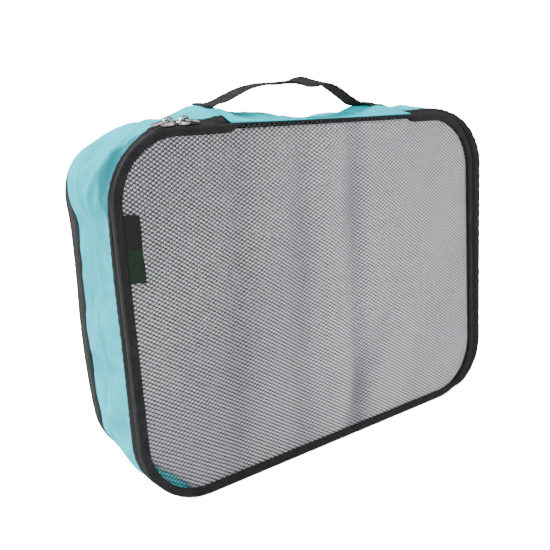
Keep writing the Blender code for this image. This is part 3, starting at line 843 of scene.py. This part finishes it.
def lid_binding():
    outer = [(0.0064, 0.0003), (0.0061, -0.0005), (0.0046, -0.0010), (0.0026, -0.0010), (0.0010, -0.0007),
             (0.0002, -0.0001), (0.0, 0.0006), (0.0001, 0.0014)]
    inner = [(0.0062, 0.0007), (0.0055, 0.0001), (0.0044, -0.0003), (0.0026, -0.0004), (0.0012, -0.0002),
             (0.0006, 0.0003), (0.0004, 0.0008), (0.0006, 0.0014)]
    item = ribbon("lid_binding", SKINS["binding"], bound, all_round(TAPE_STEP), outer, inner, True)
    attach(item, "lid")
    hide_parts("lid_edging")
    long_way = the_long_way(SEAM_LEFT - 0.002, SEAM_RIGHT + 0.002, STITCH_STEP)
    rows = (("lid_stitches_inner", all_round(STITCH_STEP), 0.0050, -0.0010),
            ("lid_stitches_outer", long_way, 0.0016, -0.00085))
    for name, s, depth, t in rows:
        path = bound(s, depth, t)
        lift = np.tile([0.0, -1.0, 0.0], (len(s), 1))
        row = stitches(name, SKINS["thread"], path, lift)
        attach(row, "lid")


def binding_share(s):
    """Width of the lid's binding: full round the zip, wider below, narrow along the hinge."""
    s = wrapped(s)
    hinge = between(SEAM_LEFT - 0.004, SEAM_LEFT + 0.010, SEAM_RIGHT - 0.010, SEAM_RIGHT + 0.004, s)
    return 1.0 - 0.78 * hinge + 0.14 * smooth(0.38, 0.45, np.abs(s))


def bound(s, depth, t):
    return front_rim(s, depth * binding_share(s), t)


def front_rim(s, depth, t):
    """As rim, but the lid's face stays flat and only what lies behind its edge turns out."""
    turn = turned(s) * np.clip(t / EDGE_FLAT, 0.0, 1.0)
    out = np.maximum(t, 0.0) * np.sin(turn) - depth * np.cos(turn)
    back = np.where(t > 0, t * np.cos(turn), t) + np.maximum(depth, 0.0) * np.sin(turn)
    return shell(s, out, FRONT + back)


def fitted(s, depth, t):
    """As rim, with what lies behind the chain squeezed to the band's width at that place."""
    squeeze = (band(s) - CHAIN) / (BAND_WIDEST - CHAIN)
    lap = np.maximum(t - BAND_WIDEST, 0.0) * (1.0 + 0.4 * np.sin(s * 830.0 + 2.0 * np.sin(s * 140.0)))
    squeezed = CHAIN + (np.minimum(t, BAND_WIDEST) - CHAIN) * squeeze
    return rim(s, depth, np.where(t > CHAIN, squeezed, t) + lap)


def zip_tapes():
    """The tape sewn to the case, and the narrow strip of the lid's tape that shows."""
    edge = BAND_WIDEST
    case_outer = [(0.0010, CHAIN + 0.0009), (0.0007, CHAIN + 0.0014), (0.0006, edge - 0.0030),
                  (-0.0004, edge - 0.0006), (-0.0004, edge + 0.0015)]
    case_inner = [(d + 0.0006, t) for d, t in case_outer]
    lid_outer = [(0.0005, 0.0009), (0.0008, 0.0014), (0.0010, CHAIN - 0.0009)]
    lid_inner = [(d + 0.0005, t) for d, t in lid_outer]
    long_way = the_long_way(SEAM_LEFT - 0.0004, SEAM_RIGHT + 0.0004, TAPE_STEP)
    parked = span(SEAM_LEFT - 0.0004, PARKED + 0.0002, TAPE_STEP)
    moving = span(PARKED - 0.0002, SEAM_RIGHT + 0.0004 - 2.0 * HALFWAY, TAPE_STEP)
    for name, body, node_name, stations, outer, inner in (
            ("case_tape", "case", "zip_tape_case", long_way, case_outer, case_inner),
            ("lid_tape_parked", "case", "zip_tape_lid_end", parked, lid_outer, lid_inner),
            ("lid_tape", "lid", "zip_tape_lid", moving, lid_outer, lid_inner)):
        item = ribbon(name, SKINS["tape"], fitted, stations, outer, inner)
        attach(item, body)
        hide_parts(node_name)
    path_s = the_long_way(SEAM_LEFT - 0.001, SEAM_RIGHT + 0.001, STITCH_STEP)
    for name, t in (("tape_stitches_front", 0.0012), ("tape_stitches_back", 0.0040)):
        t = np.minimum(t, band(path_s) - CHAIN - 0.0018)
        path = rim(path_s, np.where(t < 0.003, 0.0001, 0.0006), band(path_s) - t)
        lift = rim(path_s, 0.0, band(path_s)) - rim(path_s, 0.001, band(path_s))
        row = stitches(name, SKINS["thread"], path, lift)
        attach(row, "case")


# A tooth of the coil: places across the chain, and the scale of its section there.
TOOTH = ((-0.0014, 0.55), (-0.0010, 1.0), (0.0002, 0.9), (0.0010, 1.05), (0.0014, 0.55))
TOOTH_HALF = (0.00046, 0.00052)     # half its width along the chain, and half its height


def teeth(name, skin, stations, sign):
    """One side of the coil: a row of rounded teeth that reach just past the chain's middle."""
    count = len(stations)
    around = np.arange(8) * math.pi / 4.0
    blocks = []
    for v, scale in TOOTH:
        u, w = TOOTH_HALF[0] * scale * np.cos(around), TOOTH_HALF[1] * scale * np.sin(around)
        t = CHAIN + sign * 0.0007 + sign * v
        blocks.append(rim(stations[:, None] + u[None], 0.0004 + w[None], np.full((count, 8), t)))
    points = np.stack(blocks, 1)
    return make(name, points, bead_faces(count, len(TOOTH), len(around)), skin)


def zip_coils():
    last = TEETH_END_RIGHT - 2.0 * HALFWAY
    case = np.arange(TEETH_END_LEFT, last, -TOOTH_PITCH)
    parked = np.arange(TEETH_END_LEFT - TOOTH_PITCH / 2.0, PARKED + 0.0004, -TOOTH_PITCH)
    moving = np.arange(parked[-1] - TOOTH_PITCH, last, -TOOTH_PITCH)
    for name, body, node_name, stations, sign in (
            ("coil_case", "case", "zip_coil_case", case, 1.0),
            ("coil_lid_parked", "case", "zip_coil_lid_end", parked, -1.0),
            ("coil_lid", "lid", "zip_coil_lid", moving, -1.0)):
        item = teeth(name, SKINS["coil"], stations, sign)
        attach(item, body)
        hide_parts(node_name)


def back_face(s, depth, t):
    """The band along the back seam; t runs back from the end of the nylon wall."""
    out = np.zeros(np.broadcast(s, t).shape) - depth - drawn_in(s)
    return shell(s, out, BACK + t)


def back_binding():
    """Folded tape that stands proud all round the back seam, with its two rows of stitches."""
    outer = [(0.0008, -0.0168), (-0.0010, -0.0163), (-0.0020, -0.0120), (-0.0019, -0.0050),
             (-0.0013, -0.0008), (-0.0004, 0.0004), (0.0012, 0.0006), (0.0040, 0.0002)]
    inner = [(0.0011, -0.0160), (0.0003, -0.0156), (-0.0008, -0.0118), (-0.0009, -0.0050),
             (-0.0005, -0.0014), (0.0, -0.0006), (0.0014, -0.0004), (0.0040, -0.0005)]
    s = all_round(TAPE_STEP)
    item = ribbon("back_binding", SKINS["binding"], back_face, s, outer, inner, True)
    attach(item, "case")
    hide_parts("back_edging")
    path_s = all_round(STITCH_STEP)
    rows = (("back_stitches_side", -0.0016, -0.0142), ("back_stitches_rear", 0.0030, 0.0004))
    for name, depth, t in rows:
        t = np.full(len(path_s), t)
        path = back_face(path_s, depth, t)
        lift = (back_face(path_s, -1.0, t) - back_face(path_s, 0.0, t)
                if depth < 0 else np.tile([0.0, 1.0, 0.0], (len(path_s), 1)))
        row = stitches(name, SKINS["thread"], path, lift)
        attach(row, "case")


BACK_FULL = 0.0045                  # how far the middle of the back stands out


def back_cloth():
    """The nylon back, a little full, with shallow wrinkles."""
    s = all_round(0.004)
    side, cx, cz, angle = outline(s)
    reach = RADIUS - 0.0022 - drawn_in(s)
    edge_x, edge_z = side * (cx + reach * np.cos(angle)), cz + reach * np.sin(angle)
    levels = np.concatenate([np.linspace(0.0, 0.8, 17)[1:], np.linspace(0.85, 1.0, 6)])
    x = edge_x[None] * levels[:, None]
    z = MIDDLE + (edge_z[None] - MIDDLE) * levels[:, None]
    depth = np.clip(inside(x, z) / 0.06, 0.0, 1.0)
    full = BACK_FULL * depth * (2.0 - depth)
    full = full + 0.0007 * depth * (np.sin(60 * x + 22 * z) + np.sin(38 * z - 51 * x + 1.0))
    points = np.stack([x, BACK - 0.0010 + full, z], -1)
    verts = np.concatenate([points.reshape(-1, 3), [[0.0, BACK + BACK_FULL - 0.0010, MIDDLE]]])
    faces = disc_faces(len(levels), len(s))
    item = make("back_cloth", verts, faces, SKINS["nylon"], verts[:, [0, 2]], tidy=False)
    modify(item, "SOLIDIFY", thickness=NYLON, offset=-1.0)
    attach(item, "case")
    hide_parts("back_panel")
    return item


def seam_bindings():
    """Inside tapes over the two seams of the top, and the stitches that show outside."""
    for name, seam in (("left", SEAM_LEFT), ("right", SEAM_RIGHT)):
        share = np.linspace(0.06, 0.94, 12)
        s = np.array([seam - 0.005, seam - 0.0015, seam, seam + 0.0015, seam + 0.005])
        outer = wall(s[:, None], NYLON + 0.0003, share[None])
        inner = wall(s[:, None], NYLON + 0.0009, share[None])[::-1]
        rings = np.swapaxes(np.concatenate([outer, inner]), 0, 1)
        item = loft("seam_binding_" + name, rings, SKINS["binding"])
        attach(item, "case")
        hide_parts("seam_tape_" + name)
        for side, shift in (("a", -0.0018), ("b", 0.0018)):
            line = np.linspace(0.02, 0.98, 60)
            path = wall(np.full(60, seam + shift), 0.0, line)
            lift = path - wall(np.full(60, seam + shift), 0.001, line)
            row = stitches(f"seam_stitches_{name}_{side}", SKINS["seam"], path, lift)
            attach(row, "case")


# ---- label ----
def label():
    low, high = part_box("side_label")
    left, width = low.x - 0.0012, high.x - low.x + 0.0016
    u = np.linspace(0.0, 1.0, 14)[:, None]
    v = np.linspace(0.0, 1.0, 30)[None, :]
    x = left + width * u
    z = low.z + (high.z - low.z) * v + 0.0006 * np.sin(5 * u)
    y = FRONT - 0.0009 - 0.0012 * np.sin(np.pi * u) - 0.0009 * u * np.sin(3.0 * np.pi * v + 0.4)
    points = joined(x, y, z)
    weave = joined(x, z)
    skin = label_skin((low.z + high.z) / 2.0)
    item = make("blank_label", points, grid_faces(14, 30), skin, weave, tidy=False)
    modify(item, "SOLIDIFY", thickness=0.0004, offset=0.0)
    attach(item, "lid")
    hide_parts("side_label")


# ---- handle ----
HANDLE_Y = -0.009
STRAP_WIDTH, STRAP_STOCK = 0.0215, 0.0015
STRAP_LINE = ((-0.0870, 0.0), (-0.0845, 0.0), (-0.0700, 0.2772), (-0.061, 0.2808), (-0.048, 0.2857),
              (-0.033, 0.2887), (-0.012, 0.2897), (0.006, 0.2898), (0.020, 0.2905), (0.030, 0.2895),
              (0.041, 0.2850), (0.054, 0.2775), (0.066, 0.2718), (0.0740, 0.0), (0.082, 0.0), (0.0890, 0.0))
STRAP_ROLL = ((-0.0870, 0.0), (-0.082, 0.0), (-0.072, 5.0), (-0.048, 4.5), (-0.030, 5.0), (-0.002, 5.0),
              (0.008, 24.0), (0.016, 27.0), (0.027, 14.0), (0.036, 8.0), (0.054, 6.0), (0.066, 1.0),
              (0.0890, 0.0))
FOOT_ENDS = (-0.0840, -0.0740, 0.0680, 0.0750)  # the strap lies on the cloth outside the outer two


def top_height(x, y):
    """Height of the nylon top at places under the handle."""
    start = band(x) * np.cos(turned(x))
    return wall(x, 0.0, (y - FRONT - start) / (WALL_END - start))[..., 2]


def strap_section():
    """The webbing's section, as widths and heights: flat, with rounded edges and faint cords."""
    v = np.linspace(-1.0, 1.0, 25)
    h = np.sqrt(1.0 - np.abs(v) ** 10) * (1.0 + 0.05 * np.cos(24 * math.pi * (v + 1) / 2))
    v, h = v * STRAP_WIDTH / 2.0, np.maximum(h * STRAP_STOCK / 2.0, 1e-5)
    return np.concatenate([v, v[::-1]]), np.concatenate([h, -h[::-1]])


def handle():
    """One length of webbing: two feet sewn flat to the top and a bowed, twisted strap between."""
    line = np.array([(x, z if z else float(top_height(x, HANDLE_Y)) + 0.0011) for x, z in STRAP_LINE])
    x = np.linspace(line[0, 0], line[-1, 0], 150)
    z = curve(line, x)
    angle = np.radians(curve(STRAP_ROLL, x))
    slope = np.gradient(z, x)
    tangent = np.stack([np.ones_like(x), np.zeros_like(x), slope], -1)
    tangent /= np.linalg.norm(tangent, axis=1, keepdims=True)
    normal = np.stack([-tangent[:, 2], np.zeros_like(x), tangent[:, 0]], -1)
    depth = np.tile([0.0, 1.0, 0.0], (len(x), 1))
    across = np.cos(angle)[:, None] * depth + np.sin(angle)[:, None] * normal
    up = np.cos(angle)[:, None] * normal - np.sin(angle)[:, None] * depth
    middle = np.stack([x, np.full_like(x, HANDLE_Y), z], -1)
    loop_v, loop_h = strap_section()
    rings = (middle[:, None] + loop_v[None, :, None] * across[:, None]
             + loop_h[None, :, None] * up[:, None])
    outer_left, inner_left, inner_right, outer_right = FOOT_ENDS
    sewn = (1.0 - smooth(outer_left, inner_left, x) + smooth(inner_right, outer_right, x))[:, None]
    bulge = top_height(x[:, None], HANDLE_Y + loop_v[None]) - top_height(x, HANDLE_Y)[:, None]
    rings[..., 2] += sewn * bulge
    weave = joined(run_along(middle)[:, None], loop_v[None])
    strap = loft("carry_handle", rings, SKINS["webbing"], False, weave)
    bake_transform(strap)
    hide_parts("handle_strap", "handle_leg_left", "handle_leg_right", "handle_foot_left",
                "handle_foot_right")
    foot_stitches(lambda px, py: float(top_height(px, py))
                  + float(np.interp(px, x, z) - top_height(px, HANDLE_Y)))


FOOT_BOXES = (("left", -0.0862, -0.0835), ("right", 0.0765, 0.0878))


def foot_stitches(height):
    """A sewn box with a cross on each foot."""
    reach = STRAP_WIDTH / 2.0 - 0.0022
    for name, first, last in FOOT_BOXES:
        corners = [(first, -reach), (last, -reach), (last, reach), (first, reach), (first, -reach),
                   (last, reach), (first, reach), (last, -reach)]
        path = []
        for (xa, ya), (xb, yb) in zip(corners, corners[1:]):
            steps = max(4, int(math.hypot(xb - xa, yb - ya) / 0.0008))
            for i in range(steps):
                px, py = xa + (xb - xa) * i / steps, ya + (yb - ya) * i / steps
                path.append((px, HANDLE_Y + py, height(px, HANDLE_Y + py) + STRAP_STOCK / 2.0 + 0.00005))
        lift = np.tile([0.0, 0.0, 1.0], (len(path), 1))
        row = stitches("foot_stitches_" + name, SKINS["thread"], path, lift, 0.0017, 0.0006)
        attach(row, "case")


# ---- sliders ----
SLIDERS = (("slider_left", "pull_left", -CENTRE_X - RADIUS * math.radians(5.7), 1.0),
           ("slider_right", "pull_right", -0.1185, -1.0))
# Plan of a slider: places along it, nose first, and the half width there.
SLIDER_PLAN = ((0.0050, 0.0014), (0.0046, 0.0022), (0.0036, 0.0028), (0.0018, 0.0031), (-0.0004, 0.0028),
               (-0.0026, 0.0023), (-0.0042, 0.0020), (-0.0050, 0.0012))
# Heights over the band, and the plan's scale there.
TOP_LEVELS = ((0.0002, 0.97), (0.0003, 1.0), (0.0017, 1.0), (0.0024, 0.93), (0.0028, 0.66), (0.0029, 0.30))
LOW_LEVELS = ((-0.0043, 0.5), (-0.0043, 0.70), (-0.0040, 0.74), (-0.0036, 0.74), (-0.0035, 0.70))
PULL_LEVELS = ((-0.00050, 0.92), (-0.00042, 1.0), (0.00042, 1.0), (0.00050, 0.92))
PULL_PLAN = ((0.0008, 0.0010), (0.0002, 0.0019), (-0.0014, 0.0022), (-0.0040, 0.0021), (-0.0056, 0.0017),
             (-0.0078, 0.0019), (-0.0104, 0.0022), (-0.0118, 0.0019), (-0.0124, 0.0010))
BAR_HEIGHT = 0.0036                 # the pull's bar over the band
DROOP = math.radians(9.0)           # how far the pull hangs down at rest
LOOP_TOP, LOOP_REACH, LOOP_STOCK, LOOP_HALF = 0.0060, 0.0036, 0.0011, 0.0015


def local_frame(s, nose):
    """Matrix whose axes run along the chain to the nose, out of the band, and across it."""
    origin = rim(s, 0.0, CHAIN)
    ahead = rim(s + 1e-4, 0.0, CHAIN) - rim(s - 1e-4, 0.0, CHAIN)
    up = rim(s, -1.0, CHAIN) - origin
    ahead, up = Vector(ahead * nose).normalized(), Vector(up).normalized()
    across = ahead.cross(up)
    return Matrix.Translation(Vector(origin)) @ Matrix((ahead, up, across)).transposed().to_4x4()


def plate(name, plan, levels, skin):
    """A rounded plate: the plan drawn at a run of (height, scale) levels and closed at both ends."""
    plan = np.array(plan)
    loop = np.concatenate([plan, (plan * [1.0, -1.0])[::-1]])
    middle = np.array([loop[:, 0].mean(), 0.0])
    rings = []
    for height, scale in levels:
        flat = middle + (loop - middle) * scale
        rings.append(np.stack([flat[:, 0], np.full(len(flat), height), flat[:, 1]], -1))
    item = make(name, np.stack(rings), bead_faces(1, len(rings), len(loop)), skin)
    modify(item, "SUBSURF", levels=2, render_levels=2)
    return item


def slider_body(name, skin):
    """Domed top plate and flat lower plate, joined at the nose."""
    top = plate(name + "_top", SLIDER_PLAN, TOP_LEVELS, skin)
    low = plate(name + "_low", SLIDER_PLAN, LOW_LEVELS, skin)
    post = block(name + "_post", (0.0024, 0.0036), (-0.0038, 0.0010), (-0.0005, 0.0005), skin)
    return [top, low, post]


def block(name, x, y, z, skin):
    """A small block between two limits each way, with eased edges."""
    points = [(a, b, c) for a in x for b in y for c in z]
    faces = [(0, 1, 3, 2), (4, 6, 7, 5), (0, 4, 5, 1), (2, 3, 7, 6), (0, 2, 6, 4), (1, 5, 7, 3)]
    item = make(name, points, faces, skin)
    modify(item, "BEVEL", width=0.0003, segments=3, limit_method="ANGLE")
    return item


def loop_part(name, skin):
    """The arch that holds the pull."""
    turn = np.linspace(0.0, math.pi, 15)
    x, rise = np.cos(turn), np.sin(turn) ** 0.55
    foot = 0.0020
    rings = []
    for reach, top in ((LOOP_REACH, LOOP_TOP), (LOOP_REACH - LOOP_STOCK, LOOP_TOP - LOOP_STOCK)):
        rings.append(np.stack([reach * x, foot + (top - foot) * rise], -1))
    outer, inner = rings
    sections = []
    for a, b in zip(outer, inner):
        middle, arm = (a + b) / 2.0, (a - b) / 2.0
        sections.append([(*(middle + arm * math.cos(k)), LOOP_HALF * scale * math.sin(k))
                         for k, scale in zip(np.arange(8) * math.pi / 4.0, (1.0, 1.2) * 4)])
    return loft(name, np.array(sections), skin)


def pull_part(name, skin):
    """Flat tab with a square eye at its bar, drooping a little towards its end."""
    outer = plate(name, PULL_PLAN, PULL_LEVELS, skin)
    hole = block(name + "_hole", (-0.0040, -0.0004), (-0.002, 0.002), (-0.0013, 0.0013), skin)
    modify(outer, "BOOLEAN", operation="DIFFERENCE", solver="EXACT", object=hole)
    apply_modifiers(outer)
    bpy.data.objects.remove(hole)
    return outer


def sliders():
    skin = SKINS["nickel"]
    for name, pull_body, s, nose in SLIDERS:
        place = local_frame(s, nose)
        body, arch = slider_body(name + "_shape", skin), loop_part(name + "_arch", skin)
        tab = pull_part(name + "_tab", skin)
        droop = Matrix.Translation((0.0, BAR_HEIGHT, 0.0)) @ Matrix.Rotation(DROOP, 4, "Z")
        for item in (*body, arch):
            item.matrix_world = place
            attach(item, name)
        tab.matrix_world = place @ droop
        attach(tab, pull_body)
        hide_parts(name + "_body")
        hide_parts(name + "_loop")
        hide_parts(name + "_pull")


def stops():
    """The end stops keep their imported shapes, with eased edges."""
    for name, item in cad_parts.items():
        if "zip_stop" in name:
            item.data.materials.clear()
            item.data.materials.append(SKINS["nickel"])
            modify(item, "BEVEL", width=0.00022, segments=3, limit_method="ANGLE")
            for face in item.data.polygons:
                face.use_smooth = True


# ---- studio ----
LENS, SENSOR = 43.92, 36.0
CAMERA_PLACE = (-0.3395, -0.4378, 0.2491)
CAMERA_RIGHT = (0.80108, -0.59479, -0.06702)
CAMERA_UP = (0.17292, 0.12279, 0.97725)
# Brightness of the backdrop and of the floor: as other things are lit by it, and added for the camera.
BACKDROP, BACKDROP_SEEN = 0.45, 17.0
FLOOR, FLOOR_SEEN = 0.8, 42.0
# Disc lights: place, target, size, power.
LIGHTS = {"overhead": ((-0.25, 0.10, 1.30), (0.0, 0.0, 0.1), 0.9, 24.0),
          "left_key": ((-1.00, 0.75, 0.75), (0.0, 0.0, 0.13), 0.35, 34.0),
          "front_fill": ((0.55, -1.50, 0.15), (0.05, 0.0, 0.13), 0.9, 42.0)}


def camera():
    data = bpy.data.cameras.new("camera")
    data.lens, data.sensor_width = LENS, SENSOR
    data.clip_start = 0.01
    item = link_new("camera", data)
    right, up = Vector(CAMERA_RIGHT), Vector(CAMERA_UP)
    axes = Matrix((right, up, right.cross(up))).transposed()
    item.matrix_world = Matrix.Translation(CAMERA_PLACE) @ axes.to_4x4()
    bpy.context.scene.camera = item


def area_light(name, place, target, size, power):
    data = bpy.data.lights.new(name, "AREA")
    data.shape = "DISK"
    data.size, data.energy = size, power
    item = link_new(name, data)
    item.location = place
    item.rotation_euler = (Vector(target) - Vector(place)).to_track_quat("-Z", "Y").to_euler()


def level_seen(tree, level, seen):
    """A level for light that bounces, with more added where the camera looks straight at it."""
    return maths(tree, "MULTIPLY_ADD", node(tree, "LightPath").outputs["Is Camera Ray"], seen, level)


def studio():
    world = bpy.data.worlds.new("studio")
    bpy.context.scene.world = world
    world.use_nodes = True
    tree = world.node_tree
    backdrop = tree.nodes["Background"]
    tree.links.new(level_seen(tree, BACKDROP, BACKDROP_SEEN), backdrop.inputs["Strength"])
    backdrop.inputs["Color"].default_value = (1.0, 1.0, 1.0, 1.0)
    bpy.ops.mesh.primitive_plane_add(size=6.0, location=(0.0, 0.0, 0.0))
    floor = bpy.context.object
    floor.name = "floor"
    skin = bpy.data.materials.new("pale_floor")
    skin.use_nodes = True
    tree = skin.node_tree
    tree.nodes.clear()
    diffuse = node(tree, "BsdfDiffuse", {"Color": grey(tree, level_seen(tree, FLOOR, FLOOR_SEEN))})
    node(tree, "OutputMaterial", {"Surface": diffuse.outputs[0]})
    floor.data.materials.append(skin)
    for name, (place, target, size, power) in LIGHTS.items():
        area_light(name, place, target, size, power)


# ---- assembly ----
def build():
    camera()
    studio()
    walls = [side_cloth(), hinge_cloth()]
    back = back_cloth()
    mesh_net = net()
    pale = liner()
    turned_edge()
    lid_binding()
    zip_tapes()
    zip_coils()
    back_binding()
    seam_bindings()
    label()
    handle()
    sliders()
    stops()
    return walls, back, mesh_net, pale


crumple()
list(build())
